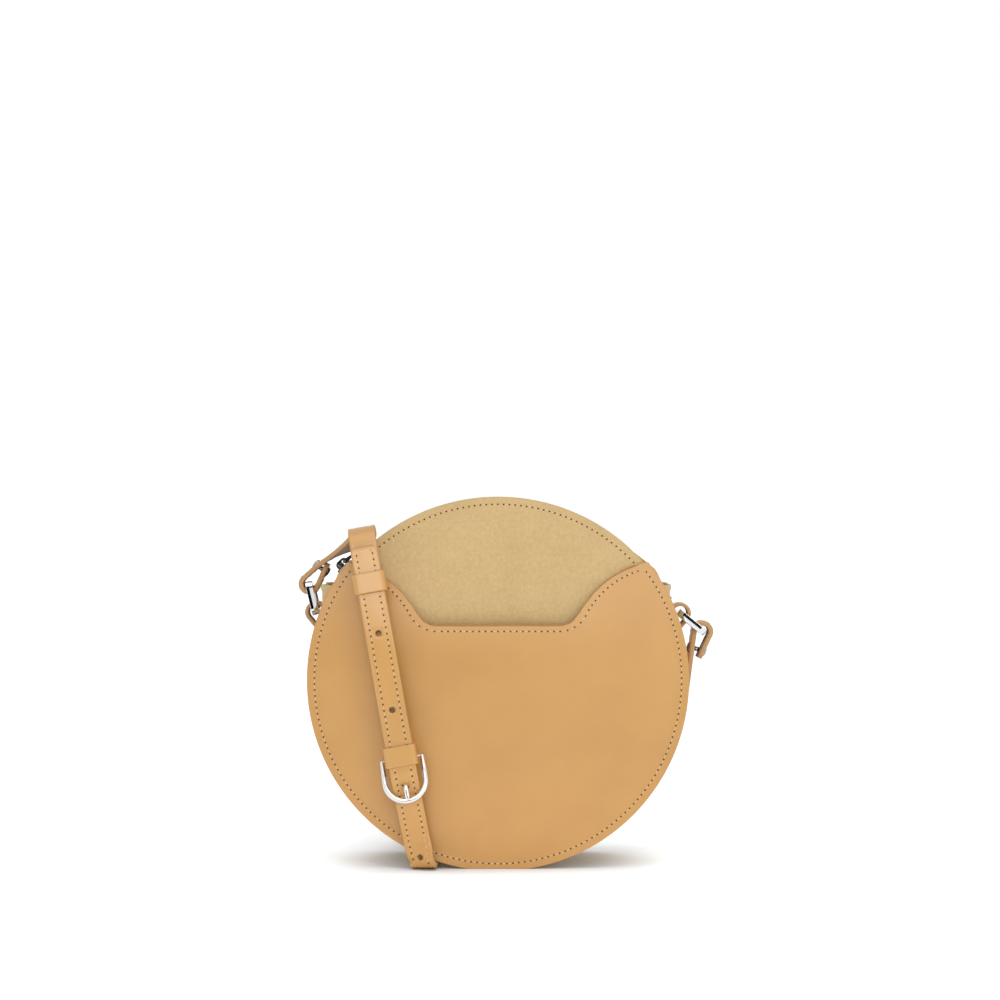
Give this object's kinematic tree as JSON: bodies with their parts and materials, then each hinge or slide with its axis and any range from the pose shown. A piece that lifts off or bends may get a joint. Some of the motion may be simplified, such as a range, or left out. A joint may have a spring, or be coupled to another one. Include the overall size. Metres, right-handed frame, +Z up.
{
  "type": "round cross-body bag",
  "caption": "Round leather and suede cross-body bag with a zip over the top, a scalloped front slip pocket, side rings and a buckled strap.",
  "frame": {"origin": "bottom of the front rim, in the middle of the flat that the bag stands on, where the front pocket and the front panel meet", "axes": "+Z up, +X to the right as seen from the front, +Y from the front to the back"},
  "size_m": [0.2115, 0.1635, 0.1859],
  "materials": {
    "leather": "smooth, semi-matt",
    "suede": "napped suede",
    "lining": "plain weave",
    "board": "fibre board",
    "zip_tape": "woven tape",
    "zip_metal": "dark nickel",
    "polished_metal": "polished nickel"
  },
  "bodies": {
    "bag": {"front_pocket": "leather", "ring_tab_left": "leather", "ring_tab_right": "leather", "strap_buckle_end": "leather", "strap_hole_end": "leather", "fixed_keeper": "leather", "front_panel": "suede", "back_panel": "suede", "side_gusset": "suede", "top_strip_front": "suede", "top_strip_back": "suede", "front_lining": "lining", "back_lining": "lining", "gusset_lining": "lining", "front_board": "board", "back_board": "board", "zip_tape_front": "zip_tape", "zip_tape_back": "zip_tape", "zip_teeth_front": "zip_metal", "zip_teeth_back": "zip_metal", "zip_stops": "zip_metal", "tab_rivet_left": "polished_metal", "tab_rivet_right": "polished_metal"},
    "slider": {"zip_slider": "zip_metal"},
    "puller": {"zip_puller": "zip_metal"},
    "ring_left_swinging": {"ring_left": "polished_metal", "strap_rivet_left": "polished_metal"},
    "ring_right_swinging": {"ring_right": "polished_metal", "strap_rivet_right": "polished_metal"},
    "buckle": {"buckle_frame": "polished_metal"},
    "prong": {"buckle_prong": "polished_metal"},
    "keeper": {"sliding_keeper": "leather"}
  },
  "joints": [
    {"name": "zip_slide", "type": "hinge", "parent": "bag", "child": "slider", "pos_m": [0, 0.03, 0.0614], "axis": [0, 1, 0], "range_deg": [0, 82]},
    {"name": "puller_swing", "type": "hinge", "parent": "slider", "child": "puller", "pos_m": [-0.07876, 0.03, 0.15247], "axis": [0, -1, 0], "range_deg": [0, 15]},
    {"name": "ring_left_swing", "type": "hinge", "parent": "bag", "child": "ring_left_swinging", "pos_m": [-0.09298, 0.03, 0.1271], "axis": [0, 1, 0], "range_deg": [-20, 4], "deforming": ["strap_buckle_end"]},
    {"name": "ring_right_swing", "type": "hinge", "parent": "bag", "child": "ring_right_swinging", "pos_m": [0.09298, 0.03, 0.1264], "axis": [0, 1, 0], "range_deg": [-20, 10], "deforming": ["strap_hole_end"]},
    {"name": "buckle_tilt", "type": "hinge", "parent": "bag", "child": "buckle", "pos_m": [-0.0477, -0.00995, 0.056], "axis": [-0.9845, 0, -0.1752], "range_deg": [0, 14], "deforming": ["strap_hole_end"]},
    {"name": "prong_lift", "type": "hinge", "parent": "buckle", "child": "prong", "pos_m": [-0.0477, -0.00995, 0.056], "axis": [-0.9845, 0, -0.1752], "range_deg": [0, 10], "deforming": ["strap_hole_end"]},
    {"name": "keeper_slide", "type": "slide", "parent": "bag", "child": "keeper", "axis": [0.1752, 0, -0.9845], "range_m": [-0.008, 0.06]}
  ]
}
